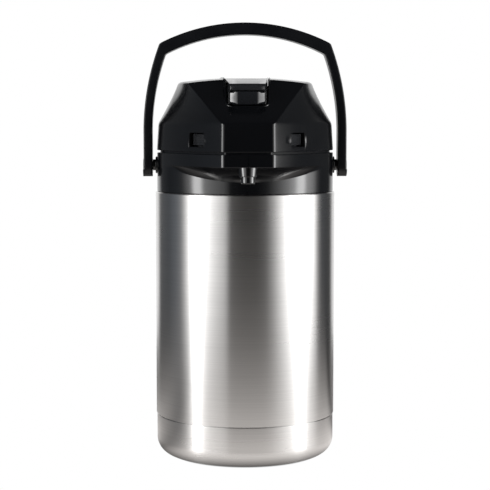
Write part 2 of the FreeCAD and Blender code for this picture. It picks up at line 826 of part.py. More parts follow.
def make_pump():
    """Pleated bellows with its return spring inside and the plate that the lever presses."""
    foot = plate_top + 0.2
    pitch = (bellows_top - foot) / BELLOWS_FOLDS
    outside = []
    inside = []
    for fold in range(BELLOWS_FOLDS):
        low = foot + pitch * fold
        outside.append((bellows_radius - FOLD_DEPTH, low))
        outside.append((bellows_radius, low + pitch / 2))
        inside.append((bellows_radius - FOLD_DEPTH - BELLOWS_WALL, low))
        inside.append((bellows_radius - BELLOWS_WALL, low + pitch / 2))
    outside.append((bellows_radius - FOLD_DEPTH, bellows_top))
    inside.append((bellows_radius - FOLD_DEPTH - BELLOWS_WALL, bellows_top))
    turned("bellows", outside + inside[::-1])

    wire_radius = 1.1
    helix = document.addObject("Part::Helix", "spring_way")
    bind(helix, "Pitch", (bellows_top - foot - 2 * wire_radius - 1) / 5)
    bind(helix, "Height", bellows_top - foot - 2 * wire_radius - 1)
    bind(helix, "Radius", 22)
    place(helix, (0, 0, foot + wire_radius + 0.4))
    wire = document.addObject("Part::Circle", "spring_wire")
    bind(wire, "Radius", wire_radius)
    place(wire, (22, 0, foot + wire_radius + 0.4), (X_AXIS, 90))
    spring = document.addObject("Part::Sweep", "pump_spring")
    spring.Sections = [wire]
    spring.Spine = (helix, [])
    spring.Solid = True
    spring.Frenet = True
    spring.Label = "pump_spring"
    nodes.append(spring)

    hub_top = lever_pivot_height - pusher_radius - 0.3
    hub = turned("pressure_plate", [
        (0, bellows_top + 0.2),
        (36, bellows_top + 0.2),
        (36, bellows_top + 3),
        (13, bellows_top + 3),
        (10, hub_top),
        (0, hub_top),
    ])
    round_edges(hub, 1, ring_edge(36, bellows_top + 3))


def make_lever():
    """Press lever: wedge-shaped tip in the lid's notch, top pad, pin eye and round pusher."""
    lever = new_body("lever_arm")
    side = sketch_on(lever, "lever_side", "YZ_Plane")
    outline(side, [
        (-73, 314),
        (-79.2, 314),
        (-79.2, 324.8),
        (-83.2, 325.8),
        (-83.6, 328.6),
        (-81.5, 331.1),
        (-22, 337.3),
        (20, 338.3),
        (50, 336.2),
        (54.6, 333),
        (54.6, 324.3),
        (45.4, 324.3),
        (38, 331),
        (-30, 330.4),
        (-66, 325.5),
    ])
    pad(lever, side, 2 * notch_rear_half, Midplane=True)
    taper = sketch_on(lever, "lever_taper", "XY_Plane", 345)
    front = notch_front_half - lever_gap + 0.8
    rear = notch_rear_half - lever_gap / 2
    for sign in (-1, 1):
        outline(taper, [
            (sign * (front - 5.6), -92),
            (sign * 40, -92),
            (sign * 40, 62),
            (sign * rear, 62),
            (sign * front, -78.5),
        ])
    pocket(lever, taper, 60)
    stem = sketch_on(lever, "pusher_stem", "XY_Plane", lever_pivot_height)
    circle(stem, 0, 0, pusher_radius)
    pad(lever, stem, 4)
    ball = sketch_on(lever, "pusher_ball", "XZ_Plane")
    outline(ball, [
        (0, lever_pivot_height - pusher_radius, pusher_radius),
        (pusher_radius, lever_pivot_height),
        (0, lever_pivot_height),
    ])
    feature(lever, "Revolution", ball, ReferenceAxis=(ball, ["V_Axis"]), Angle=360)
    eye = sketch_on(lever, "lever_eye", "YZ_Plane")
    circle(eye, lever_pivot_reach, lever_pivot_height, hinge_pin_radius + running_clearance)
    pocket(lever, eye, 60, Midplane=True)

    insert = new_body("lever_insert")
    bottom = 313.4
    face = sketch_on(insert, "insert_face", "XY_Plane", bottom)
    outline(face, [
        (-14.7, -79.3),
        (-14.7, -79.9),
        (-8.6, -83.3),
        (8.6, -83.3),
        (14.7, -79.9),
        (14.7, -79.3),
    ])
    pad(insert, face, 324.6 - bottom)


# ---- handle ----------------------------------------------------------------------

def arch_radius(half, foot, top):
    rise = top - foot
    return (half * half + rise * rise) / (rise * 2)


def lean_radius(outer, half, foot):
    return arch_radius(foot - arm_straight_top, half, outer)


def make_handle():
    """Carrying bail: two leaning arms and an arched grip, turning on a pin at each side."""
    handle = new_body("handle_bail")
    front = sketch_on(handle, "bail_front", "XZ_Plane")
    arm_side = arm_outer - arm_flare
    outer_lean = lean_radius(arm_side, arch_outer_half, arch_outer_foot)
    inner_lean = lean_radius(arm_inner, arch_inner_half, arch_inner_foot)
    outer_arch = arch_radius(arch_outer_half, arch_outer_foot, arch_outer_top)
    inner_arch = arch_radius(arch_inner_half, arch_inner_foot, arch_inner_top)
    outline(front, [
        (arm_inner, arm_foot),
        (arm_outer, arm_foot),
        (arm_outer, arm_foot + 6.4),
        (arm_side, arm_foot + 7),
        (arm_side, arm_straight_top, outer_lean),
        (arch_outer_half, arch_outer_foot, outer_arch),
        (-arch_outer_half, arch_outer_foot, outer_lean),
        (-arm_side, arm_straight_top),
        (-arm_side, arm_foot + 7),
        (-arm_outer, arm_foot + 6.4),
        (-arm_outer, arm_foot),
        (-arm_inner, arm_foot),
        (-arm_inner, arm_straight_top, -inner_lean),
        (-arch_inner_half, arch_inner_foot, -inner_arch),
        (arch_inner_half, arch_inner_foot, -inner_lean),
        (arm_inner, arm_straight_top),
    ])
    pad(handle, front, handle_depth, Midplane=True)
    round_edges(handle, handle_depth / 2 - 0.1, arm_foot_edge)
    for side, sign in SIDES:
        recess = sketch_on(handle, "cap_recess_" + side, "YZ_Plane", sign * (arm_side - 2))
        circle(recess, 0, handle_pivot_height, 6.1)
        pocket(handle, recess, 5, Reversed=sign > 0)
        bore = sketch_on(handle, "pin_bore_" + side, "YZ_Plane", sign * (arm_inner - 1))
        circle(bore, 0, handle_pivot_height, journal_radius + running_clearance)
        pocket(handle, bore, 6.6, Reversed=sign > 0)

    for side, sign in SIDES:
        turned("handle_pin_" + side, [
            (0, 72.8),
            (5.5, 72.8),
            (5.5, 75.4),
            (stub_radius, 75.4),
            (stub_radius, arm_inner - 0.3),
            (journal_radius, arm_inner - 0.3),
            (journal_radius, arm_inner + 5.2),
            (0, arm_inner + 5.2),
        ], at=(0, 0, handle_pivot_height), turn=(Y_AXIS, 90 * sign))
        cap = turned("handle_cap_" + side, [
            (0, arm_side - 1.9),
            (6, arm_side - 1.9),
            (6, arm_side),
            (0, arm_side),
        ], at=(0, 0, handle_pivot_height), turn=(Y_AXIS, 90 * sign))
        round_edges(cap, 0.5, ring_edge(6, arm_side))


def arm_foot_edge(edge):
    """The edges along X at the bottom of both arms."""
    middle = edge.CenterOfMass
    return abs(middle.z - arm_foot.number) < 0.01 and abs(middle.y) > 5


# ---- latches ---------------------------------------------------------------------

TAB_FACE = 1.4
TAB_DEPTH = 7
HOOK_INWARD = 5.6
HOOK_HALF = 4.8
HOOK_THICK = 2
HOOK_BOTTOM = 265.5


def make_latches():
    """A press tab in each flank opening, with a hook that reaches down into the collar."""
    gap = 0.4
    for side, sign in SIDES:
        tab = new_body("latch_tab_" + side)
        face = sketch_on(tab, "tab_face_" + side, "XY_Plane", latch_low + gap)
        half = latch_length / 2 - gap
        outline(face, [(-half, TAB_FACE), (half, TAB_FACE), (half, TAB_DEPTH), (-half, TAB_DEPTH)])
        pad(tab, face, latch_high - latch_low - 2 * gap)
        hook = sketch_on(tab, "hook_" + side, "XY_Plane", HOOK_BOTTOM)
        outline(hook, [
            (-HOOK_HALF, HOOK_INWARD),
            (HOOK_HALF, HOOK_INWARD),
            (HOOK_HALF, HOOK_INWARD + HOOK_THICK),
            (-HOOK_HALF, HOOK_INWARD + HOOK_THICK),
        ])
        pad(tab, hook, latch_low + 3 - HOOK_BOTTOM)
        turn_latch(tab, sign, 0, 0, 0)


# ---- build, check and export ------------------------------------------------------

make_flask()
make_base()
make_collar()
make_neck_parts()
make_pouring_parts()
make_lid_shell()
make_lid_parts()
make_pump()
make_lever()
make_handle()
make_latches()
document.recompute()

for item in document.Objects:
    if "Invalid" in item.State or "Error" in item.State:
        raise RuntimeError("%s failed: %s" % (item.Name, item.State))
for node in nodes:
    if node.Shape.isNull() or not node.Shape.isValid():
        raise RuntimeError(node.Label + " has no valid shape")

os.makedirs("parts", exist_ok=True)
for node in nodes:
    node.Shape.exportStep("parts/%s.step" % node.Label)
    box = node.Shape.optimalBoundingBox()
    print("%-18s %10.0f  x %7.1f %7.1f  y %7.1f %7.1f  z %7.1f %7.1f" % (
        node.Label, node.Shape.Volume, box.XMin, box.XMax, box.YMin, box.YMax, box.ZMin, box.ZMax))
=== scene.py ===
import json
import math
import bmesh
import bpy
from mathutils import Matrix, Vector


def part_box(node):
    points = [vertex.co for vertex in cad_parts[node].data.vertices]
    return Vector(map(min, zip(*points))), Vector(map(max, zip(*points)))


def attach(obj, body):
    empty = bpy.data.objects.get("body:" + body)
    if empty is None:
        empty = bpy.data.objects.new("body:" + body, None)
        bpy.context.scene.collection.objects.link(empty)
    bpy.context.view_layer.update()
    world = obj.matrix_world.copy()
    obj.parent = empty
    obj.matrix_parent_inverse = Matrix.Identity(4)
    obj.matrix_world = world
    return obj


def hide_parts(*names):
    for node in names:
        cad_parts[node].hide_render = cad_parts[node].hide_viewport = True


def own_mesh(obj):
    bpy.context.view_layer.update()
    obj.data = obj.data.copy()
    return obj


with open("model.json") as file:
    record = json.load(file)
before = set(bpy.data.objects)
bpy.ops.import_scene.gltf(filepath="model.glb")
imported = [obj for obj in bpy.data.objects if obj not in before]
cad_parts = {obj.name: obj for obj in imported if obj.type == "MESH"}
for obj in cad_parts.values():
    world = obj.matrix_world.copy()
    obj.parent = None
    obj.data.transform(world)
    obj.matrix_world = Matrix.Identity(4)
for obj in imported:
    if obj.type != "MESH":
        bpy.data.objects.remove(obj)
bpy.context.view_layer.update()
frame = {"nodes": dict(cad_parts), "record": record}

MM = 0.001


# ---- materials -----------------------------------------------------------------

class Nodes:
    """A material's node tree with short ways to add and join nodes."""

    def __init__(self, name):
        self.material = bpy.data.materials.new(name)
        self.material.use_nodes = True
        self.tree = self.material.node_tree
        self.shader = self.tree.nodes["Principled BSDF"]

    def add(self, kind, **settings):
        node = self.tree.nodes.new("ShaderNode" + kind)
        for key, value in settings.items():
            if hasattr(node, key):
                setattr(node, key, value)
            else:
                node.inputs[key.replace("_", " ")].default_value = value
        return node

    def join(self, source, target):
        self.tree.links.new(source, target)

    def set(self, **values):
        for key, value in values.items():
            self.shader.inputs[key.replace("_", " ")].default_value = value

    def position(self, scale=(1, 1, 1)):
        """Object coordinates, stretched."""
        place = self.add("TexCoord")
        stretch = self.add("Mapping")
        stretch.inputs["Scale"].default_value = scale
        self.join(place.outputs["Object"], stretch.inputs["Vector"])
        return stretch.outputs["Vector"]

    def noise(self, scale, stretch=(1, 1, 1), detail=2.0, rough=0.5):
        node = self.add("TexNoise", Scale=scale, Detail=detail, Roughness=rough)
        self.join(self.position(stretch), node.inputs["Vector"])
        return node.outputs["Fac"]

    def span(self, value, low, high, start=0.0, end=1.0):
        """value between start and end becomes low to high."""
        node = self.add("MapRange")
        for key, number in (("From Min", start), ("From Max", end), ("To Min", low), ("To Max", high)):
            node.inputs[key].default_value = number
        self.join(value, node.inputs["Value"])
        return node.outputs["Result"]

    def blend(self, value, first, second):
        node = self.add("Mix", data_type="RGBA")
        node.inputs[6].default_value = (*first, 1)
        node.inputs[7].default_value = (*second, 1)
        self.join(value, node.inputs[0])
        return node.outputs[2]

    def bump(self, value, strength, distance):
        node = self.add("Bump", Strength=strength, Distance=distance)
        self.join(value, node.inputs["Height"])
        self.join(node.outputs["Normal"], self.shader.inputs["Normal"])


def brushed_steel():
    """Steel brushed round the flask: fine level scratches over a soft, slightly uneven sheen."""
    look = Nodes("brushed_steel")
    scratch = look.noise(1.0, (9, 9, 2600), detail=3.0, rough=0.62)
    band = look.noise(1.0, (5, 5, 60), detail=2.0)
    look.set(Metallic=1.0, Anisotropic=0.95, Anisotropic_Rotation=0.25)
    look.join(look.blend(look.span(scratch, 0, 1, 0.3, 0.7), (0.60, 0.592, 0.583), (0.68, 0.670, 0.660)),
              look.shader.inputs["Base Color"])
    look.join(look.span(band, 0.27, 0.29, 0.3, 0.7), look.shader.inputs["Roughness"])
    around = look.add("Tangent", direction_type="RADIAL", axis="Z")
    look.join(around.outputs["Tangent"], look.shader.inputs["Tangent"])
    look.bump(scratch, 0.02, 0.00002)
    return look.material


def satin_steel():
    """Plain satin steel of the hidden and small parts."""
    look = Nodes("satin_steel")
    grain = look.noise(900, detail=2.0)
    look.set(Metallic=1.0)
    look.join(look.blend(grain, (0.58, 0.58, 0.585), (0.70, 0.70, 0.70)), look.shader.inputs["Base Color"])
    look.join(look.span(grain, 0.24, 0.34), look.shader.inputs["Roughness"])
    return look.material


def moulded(name, dark, light, rough, grain_scale, grain_depth, specular=0.5, coat=0.0):
    """Moulded plastic: faint colour variation, a fine grain and slightly uneven gloss."""
    look = Nodes(name)
    cloud = look.noise(38, detail=3.0)
    grain = look.noise(grain_scale, detail=2.0)
    look.set(Specular_IOR_Level=specular, Coat_Weight=coat, Coat_Roughness=0.08)
    look.join(look.blend(cloud, dark, light), look.shader.inputs["Base Color"])
    look.join(look.span(cloud, rough * 0.9, rough * 1.12, 0.3, 0.7), look.shader.inputs["Roughness"])
    look.bump(grain, grain_depth, 0.00015)
    return look.material


STEEL = brushed_steel()
SATIN = satin_steel()
GLOSS = moulded("gloss_black", (0.0016, 0.0018, 0.0024), (0.0022, 0.0025, 0.0032),
                0.13, 1500, 0.006, specular=0.7)
LID = moulded("lid_black", (0.0016, 0.0018, 0.0024), (0.0024, 0.0027, 0.0034), 0.17, 1500, 0.008)
NOZZLE = moulded("nozzle_black", (0.0016, 0.0018, 0.0022), (0.0022, 0.0025, 0.003),
                 0.09, 1500, 0.004, specular=0.9)
MATTE = moulded("matte_black", (0.0016, 0.0019, 0.0030), (0.0026, 0.003, 0.0042),
                0.34, 1100, 0.05, specular=0.3)
LEVER = moulded("lever_satin", (0.012, 0.0126, 0.0140), (0.017, 0.0177, 0.0194), 0.15, 1600, 0.02)
INSERT = moulded("gloss_insert", (0.007, 0.0075, 0.009), (0.010, 0.011, 0.013), 0.05, 1600, 0.01, coat=0.6)
INNER = moulded("inner_plastic", (0.035, 0.036, 0.039), (0.050, 0.051, 0.055), 0.42, 1200, 0.15)
RUBBER = moulded("seal_rubber", (0.62, 0.62, 0.60), (0.70, 0.70, 0.68), 0.55, 900, 0.12)
BELLOWS = moulded("bellows_rubber", (0.07, 0.07, 0.075), (0.10, 0.10, 0.108), 0.50, 900, 0.15)

LOOK_OF_SLOT = {
    "brushed_steel": STEEL, "plain_steel": SATIN, "gloss_black": GLOSS, "lid_black": LID,
    "matte_black": MATTE, "lever_satin": LEVER, "gloss_insert": INSERT, "nozzle_black": NOZZLE,
    "base_plastic": MATTE, "inner_plastic": INNER, "seal_rubber": RUBBER, "bellows_rubber": BELLOWS,
}


def dress_cad_nodes():
    """Give every carried-over CAD node the look of its material slot."""
    for part in frame["record"]["subparts"]:
        node = frame["nodes"][part["node"]]
        node.data.materials.clear()
        node.data.materials.append(LOOK_OF_SLOT[part["material_slot"]])


# ---- meshes --------------------------------------------------------------------

def make_piece(name, verts, faces, slot, body, replaced=(), sharp=38):
    """A mesh piece in millimetres that rides a body and wears its slot's material."""
    mesh = bpy.data.meshes.new(name)
    mesh.from_pydata([tuple(c * MM for c in v) for v in verts], [], faces)
    work = bmesh.new()
    work.from_mesh(mesh)
    bmesh.ops.remove_doubles(work, verts=work.verts, dist=0.002 * MM)
    bmesh.ops.dissolve_degenerate(work, edges=work.edges, dist=0.001 * MM)
    bmesh.ops.recalc_face_normals(work, faces=work.faces)
    work.to_mesh(mesh)
    work.free()
    piece = bpy.data.objects.new(name, mesh)
    bpy.context.scene.collection.objects.link(piece)
    mesh.materials.append(LOOK_OF_SLOT[slot])
    smooth(piece, sharp)
    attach(piece, body)
    if replaced:
        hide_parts(*replaced)
    return piece


def smooth(piece, sharp):
    piece.data.shade_smooth()
    piece.data.set_sharp_from_angle(angle=math.radians(sharp))


def skin(rings, closed=False):
    """Points and faces of the surface through rings of equal count."""
    count = len(rings[0])
    verts = [point for ring in rings for point in ring]
    faces = []
    for row in range(len(rings) if closed else len(rings) - 1):
        low = row * count
        high = (row + 1) % len(rings) * count
        for column in range(count):
            after = (column + 1) % count
            faces.append((low + column, low + after, high + after, high + column))
    return verts, faces


def capped(rings):
    """The same with both end rings filled in."""
    verts, faces = skin(rings)
    count = len(rings[0])
    faces.append(tuple(range(count))[::-1])
    faces.append(tuple(range(len(verts) - count, len(verts))))
    return verts, faces


def curve(first, corner, last, steps=5):
    """Rounds a corner: points from first to last, drawn towards corner."""
    points = []
    for step in range(steps + 1):
        t = step / steps
        weights = ((1 - t) ** 2, 2 * t * (1 - t), t ** 2)
        points.append(tuple(sum(w * p[axis] for w, p in zip(weights, (first, corner, last)))
                            for axis in range(len(first))))
    return points


def rounded(points, steps=4):
    """A closed outline from (x, y) or (x, y, size of the rounding) corners."""
    ring = []
    for index, point in enumerate(points):
        corner = Vector(point[:2])
        if len(point) == 2:
            ring.append(tuple(corner))
            continue
        before = Vector(points[index - 1][:2]) - corner
        after = Vector(points[(index + 1) % len(points)][:2]) - corner
        reach = min(point[2], 0.49 * before.length, 0.49 * after.length)
        ring += curve(corner + before.normalized() * reach, corner,
                      corner + after.normalized() * reach, steps)
    return [tuple(p) for p in ring]


def turn(profile, at=(0, 0, 0), around=192, axis="Z"):
    """Surface swept by a closed (radius, height) profile round an axis."""
    rings = []
    for step in range(around):
        angle = 2 * math.pi * step / around
        ring = []
        for radius, height in profile:
            x, y = radius * math.cos(angle), radius * math.sin(angle)
            point = (x, y, height) if axis == "Z" else (height, x, y)
            ring.append(tuple(p + q for p, q in zip(point, at)))
        rings.append(ring)
    return skin(rings, closed=True)


def cut(piece, verts, faces, sharp=38):
    """Takes the closed shape out of the piece."""
    mesh = bpy.data.meshes.new("tool")
    mesh.from_pydata([tuple(c * MM for c in v) for v in verts], [], faces)
    work = bmesh.new()
    work.from_mesh(mesh)
    bmesh.ops.remove_doubles(work, verts=work.verts, dist=0.002 * MM)
    bmesh.ops.recalc_face_normals(work, faces=work.faces)
    work.to_mesh(mesh)
    work.free()
    tool = bpy.data.objects.new("tool", mesh)
    bpy.context.scene.collection.objects.link(tool)
    change = piece.modifiers.new("cut", "BOOLEAN")
    change.operation = "DIFFERENCE"
    change.solver = "EXACT"
    change.object = tool
    bpy.context.view_layer.update()
    result = bpy.data.meshes.new_from_object(
        piece.evaluated_get(bpy.context.evaluated_depsgraph_get()))
    piece.modifiers.remove(change)
    piece.data = result
    bpy.data.objects.remove(tool)
    smooth(piece, sharp)


def beak_ring(radius, reach, half, height, angle=25.0, corner=4.9):
    """Plan outline anticlockwise from the middle of the flat front, at one height."""
    across, forward = math.cos(math.radians(angle)), math.sin(math.radians(angle))
    touch = Vector((radius * across, -radius * forward))
    tip = Vector((half, -reach))
    run = tip - touch
    bow = run.length_squared / (2 * (run.y * forward - run.x * across))
    centre = touch - bow * Vector((across, -forward))
    start = -math.radians(angle)
    spoke = (tip - centre) / bow
    stop = math.atan2(spoke.y, spoke.x)

    def flank(share):
        bearing = stop + (start - stop) * share
        return centre + bow * Vector((math.cos(bearing), math.sin(bearing)))

    length = abs(bow * (start - stop))
    along = (flank(0.02) - tip).normalized()
    reach_in = corner * math.tan(math.radians(90) - 0.5 * Vector((-1, 0)).angle(along))
    trimmed = reach_in / length
    half_ring = [Vector(((half - reach_in) * step / 6, -reach)) for step in range(6)]
    half_ring += [Vector(p) for p in curve((half - reach_in, -reach), tuple(tip), tuple(flank(trimmed)), 8)]
    half_ring += [flank(trimmed + (1 - trimmed) * step / 26) for step in range(1, 27)]
    for step in range(1, 61):
        bearing = start + (math.pi / 2 - start) * step / 60
        half_ring.append(radius * Vector((math.cos(bearing), math.sin(bearing))))
    ring = [(p.x, p.y, height) for p in half_ring]
    return ring + [(-x, y, z) for x, y, z in ring[-2:0:-1]]


def between(first, second, share):
    """Ring part of the way from one ring to another; share may be a list, one for each point."""
    shares = share if isinstance(share, list) else [share] * len(first)
    return [tuple(a + (b - a) * s for a, b in zip(p, q)) for p, q, s in zip(first, second, shares)]


def gap_between(first, second):
    return [(Vector(q) - Vector(p)).length for p, q in zip(first, second)]


def soften(first, corner, last, steps=5):
    """Rings that round the corner ring, from first to last."""
    columns = [curve(a, b, c, steps) for a, b, c in zip(first, corner, last)]
    return [list(ring) for ring in zip(*columns)]


# ---- places, from the CAD nodes --------------------------------------------------

class Place:
    """A CAD node's box in millimetres."""

    def __init__(self, node):
        low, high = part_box(node)
        self.left, self.front, self.foot = (c / MM for c in low)
        self.right, self.back, self.top = (c / MM for c in high)
        self.y = (self.front + self.back) / 2
        self.z = (self.foot + self.top) / 2


SHELL = Place("outer_shell")
CUP = Place("base_cup")
STAND = Place("base_plate")
COLLAR = Place("collar")
COVER = Place("lid_shell")
LID_PLATE = Place("lid_plate")
SCREWS = Place("lid_screws")
LID_HINGE = Place("hinge_pin")
LEVER_PIN = Place("lever_pin")
ARM = Place("lever_arm")
NOSE = Place("lever_insert")
TAB = Place("latch_tab_right")
BAIL = Place("handle_bail")
STUD = Place("handle_pin_right")
CAP = Place("handle_cap_right")
RING = Place("nozzle_ring")
TIP = Place("nozzle_tip")
SIDES = (("left", -1), ("right", 1))
FOLDS = Place("bellows")
COIL = Place("pump_spring")


# ---- flask and base --------------------------------------------------------------

def make_flask():
    """Shell with its shoulder and neck, base cup with a rolled edge, and the stand plate."""
    wide, foot, rim, seat = SHELL.right, SHELL.foot, SHELL.top, COLLAR.foot - 0.2
    make_piece("flask_shell", *turn(rounded([
        (wide - 0.8, foot), (wide, foot, 0.35), (wide, seat - 0.8, 0.8), (wide - 1, seat, 0.6),
        (wide - 3.5, seat, 1.5), (44, rim - 11, 3), (35, rim - 8, 2), (35, rim), (34.2, rim),
        (34.2, rim - 8.9), (43.8, rim - 11.9), (wide - 3.7, seat - 0.9), (wide - 0.8, seat - 1.3)]),
        around=256), "brushed_steel", "body", ["outer_shell"])
    wide, foot, rim, roll = CUP.right, CUP.foot, CUP.top, 15
    quarter = [math.radians(90 * step / 16) for step in range(17)]
    bend = [(wide - roll + roll * math.sin(a), foot + roll - roll * math.cos(a)) for a in quarter]
    inside = [(wide - roll + (roll - 1) * math.sin(a), foot + roll - (roll - 1) * math.cos(a))
              for a in quarter[::-1]]
    step_in = rounded([(wide, rim - 1.4), (wide, rim - 0.6, 0.3), (wide - 0.7, rim - 0.5, 0.2),
                       (wide - 0.7, rim), (wide - 1, rim), (wide - 1, rim - 1)])[:-1]
    make_piece("flask_base", *turn([(58, foot)] + bend + step_in + inside + [(58, foot + 1)], around=256),
               "brushed_steel", "body", ["base_cup"])
    wide, foot, top = STAND.right, STAND.foot, STAND.top
    make_piece("stand_plate", *turn(rounded([
        (0.01, foot), (wide - 3, foot, 2), (wide, foot + 0.4, 0.3), (wide, foot + 0.8),
        (wide - 5.1, foot + 0.8), (wide - 5.1, foot + 2), (wide - 1, foot + 2), (wide - 1, top),
        (0.01, top)]), around=128), "base_plastic", "body", ["base_plate"])


# ---- collar ----------------------------------------------------------------------

COLLAR_RADIUS = COVER.right - 0.1
BEAK_REACH = -COLLAR.front
BEAK_HALF = 21.3
COLLAR_TOP = COVER.foot - 1.9
BAND_BOTTOM = COLLAR_TOP - 10.7
COLLAR_BOTTOM = COLLAR.foot


def smile_height(x):
    """Height of the line where the underside of the beak meets the round collar."""
    return COLLAR_BOTTOM + 10.1 + 13.2 * min(1.0, abs(x) / 71.0) ** 2.1


def under_beak(band, radius, lift=0.0):
    """Rings of the hollow underside from the band's edge in to the round collar."""
    rings = []
    steps = 14
    for step in range(1, steps + 1):
        bend = math.radians(60) * step / steps
        inward = math.sin(bend) / math.sin(math.radians(60))
        down = (1 - math.cos(bend)) / (1 - math.cos(math.radians(60)))
        ring = []
        for x, y, z in band:
            if y < 0 and abs(x) < 0.9 * radius:
                wall = -math.sqrt(radius * radius - x * x)
                foot = min(smile_height(x) + lift, z)
                ring.append((x, y + (max(wall, y) - y) * inward, z - (z - foot) * down))
            else:
                ring.append((x, y, z - 0.001 * step))
        rings.append(ring)
    return rings


def on_circle(ring, radius, height):
    """The ring pushed straight back on to the round collar."""
    points = []
    for x, y, _ in ring:
        if y < 0 and abs(x) < 0.9 * radius:
            points.append((x, -math.sqrt(radius * radius - x * x), height))
        else:
            away = math.hypot(x, y)
            points.append((x * radius / away, y * radius / away, height))
    return points


def make_collar():
    """Collar with its beak, its floor, the bosses of the bail and the ears of the hinge."""
    edge = 0.8
    rim_in = beak_ring(COLLAR_RADIUS - 2.6, BEAK_REACH - 2.6, BEAK_HALF - 1.9, COLLAR_TOP, corner=2.0)
    rim_near = beak_ring(COLLAR_RADIUS - edge, BEAK_REACH - edge, BEAK_HALF - edge * 0.7, COLLAR_TOP,
                         corner=3.8)
    rim_corner = beak_ring(COLLAR_RADIUS, BEAK_REACH, BEAK_HALF, COLLAR_TOP)
    rim_low = beak_ring(COLLAR_RADIUS, BEAK_REACH, BEAK_HALF, COLLAR_TOP - edge)
    band_low = beak_ring(COLLAR_RADIUS, BEAK_REACH, BEAK_HALF, BAND_BOTTOM + 0.5)
    band_edge = beak_ring(COLLAR_RADIUS, BEAK_REACH, BEAK_HALF, BAND_BOTTOM)
    band_in = beak_ring(COLLAR_RADIUS, BEAK_REACH - 0.5, BEAK_HALF - 0.3, BAND_BOTTOM, corner=4.0)
    rings = [rim_in] + soften(rim_near, rim_corner, rim_low) + soften(band_low, band_edge, band_in, 3)
    rings += under_beak(band_in, COLLAR_RADIUS)
    foot = on_circle(band_edge, COLLAR_RADIUS, COLLAR_BOTTOM)
    smile = rings[-1]
    rings += [[(x, y, z - drop) for x, y, z in smile] for drop in (0.4, 1.2)]
    rings.append(between(smile, foot, 0.5))
    foot_low = [(x, y, COLLAR_BOTTOM + 0.8) for x, y, _ in foot]
    foot_in = on_circle(band_edge, COLLAR_RADIUS - 0.8, COLLAR_BOTTOM)
    rings += soften(foot_low, foot, foot_in, 3)
    rings.append(on_circle(rim_in, COLLAR_RADIUS - 2.6, COLLAR_BOTTOM))
    inner_band = [(x, y, BAND_BOTTOM + 2.4) for x, y, _ in rim_in]
    rings += under_beak(inner_band, COLLAR_RADIUS - 2.6, 2.4)[::-1]
    rings.append(inner_band)
    collar = make_piece("beak_collar", *skin(rings, closed=True), "gloss_black", "body", ["collar"])
    crease = 20
    cut(collar, *capped([
        [(8.45 * math.cos(a), RING.y + 8.45 * math.sin(a), z)
         for a in (2 * math.pi * k / 48 for k in range(48))] for z in (RING.foot - 3, RING.top + 5)]), crease)
    for reach, low, high in ((BEAK_REACH, BAND_BOTTOM - 1, COLLAR_TOP + 1),
                             (COLLAR_RADIUS, COLLAR_BOTTOM - 1, smile_height(0) - 0.6)):
        cut(collar, *capped([[(-0.4, -reach - 0.05, z), (0.4, -reach - 0.05, z), (0, -reach + 0.4, z)]
                             for z in (low, high)]), crease)
    make_piece("collar_floor", *turn(rounded([
        (36, 252.1), (COLLAR_RADIUS - 2.5, 252.1), (COLLAR_RADIUS - 2.5, 255), (36, 255, 0.5)]), around=160),
        "gloss_black", "body")
    for side, sign in SIDES:
        make_piece("pivot_boss_" + side, *turn(rounded([
            (5, sign * (COLLAR.right - 4.3)), (7.5, sign * (COLLAR.right - 4.3)),
            (7.5, sign * COLLAR.right, 0.7), (5, sign * COLLAR.right, 0.3)]),
            at=(0, STUD.y, STUD.z), around=64, axis="X"), "gloss_black", "body")
        low, high, out = COLLAR_TOP, COLLAR.top, COLLAR.back
        ear = rounded([(COLLAR_RADIUS - 2, low - 14), (COLLAR_RADIUS, low - 14), (out, low - 1, 3),
                       (out, high, 4.5), (out - 10, high, 4.5), (out - 10, low)], 6)
        inner, outer = sign * (LID_HINGE.right - 7.4), sign * LID_HINGE.right
        make_piece("hinge_ear_" + side, *prism(ear, inner, outer, 0.8), "gloss_black", "body")


def prism(profile, start, stop, edge):
    """A (y, z) outline drawn out along X with its two end edges rounded."""
    middle = Vector((sum(p[0] for p in profile), sum(p[1] for p in profile))) / len(profile)
    step = math.copysign(edge, stop - start)
    rings = []
    for place, inset in ((start, edge), (start + step * 0.3, edge * 0.3), (start + step, 0),
                         (stop - step, 0), (stop - step * 0.3, edge * 0.3), (stop, edge)):
        ring = []
        for y, z in profile:
            spoke = Vector((y, z)) - middle
            kept = max(0.0, 1 - inset / max(spoke.length, 0.001))
            ring.append((place, middle.x + spoke.x * kept, middle.y + spoke.y * kept))
        rings.append(ring)
    return capped(rings)


# ---- lid -------------------------------------------------------------------------

LID_BOTTOM = COVER.foot
LID_RADIUS = COVER.right
BROW = LID_BOTTOM + 23.7
ROOF = LID_BOTTOM + 64.6
CREST = LID_BOTTOM + 64.0


def dome_height(x, y):
    return CREST - (x * x + y * y) / 860.0


def meet_dome(low, high):
    """Where each straight line from low to high reaches the dome."""
    points = []
    for p, q in zip(low, high):
        near, far = 0.0, 1.0
        for _ in range(30):
            share = (near + far) / 2
            x, y, z = (a + (b - a) * share for a, b in zip(p, q))
            if z < dome_height(x, y):
                near = share
            else:
                far = share
        points.append(tuple(a + (b - a) * near for a, b in zip(p, q)))
    return points


def over_dome(ring, kept, drop=0.0, centre=(0.0, 10.0)):
    """The ring shrunk towards the crest; kept may be a list."""
    kepts = kept if isinstance(kept, list) else [kept] * len(ring)
    points = []
    for (x, y, _), k in zip(ring, kepts):
        nx, ny = centre[0] + (x - centre[0]) * k, centre[1] + (y - centre[1]) * k
        points.append((nx, ny, dome_height(nx, ny) - drop))
    return points


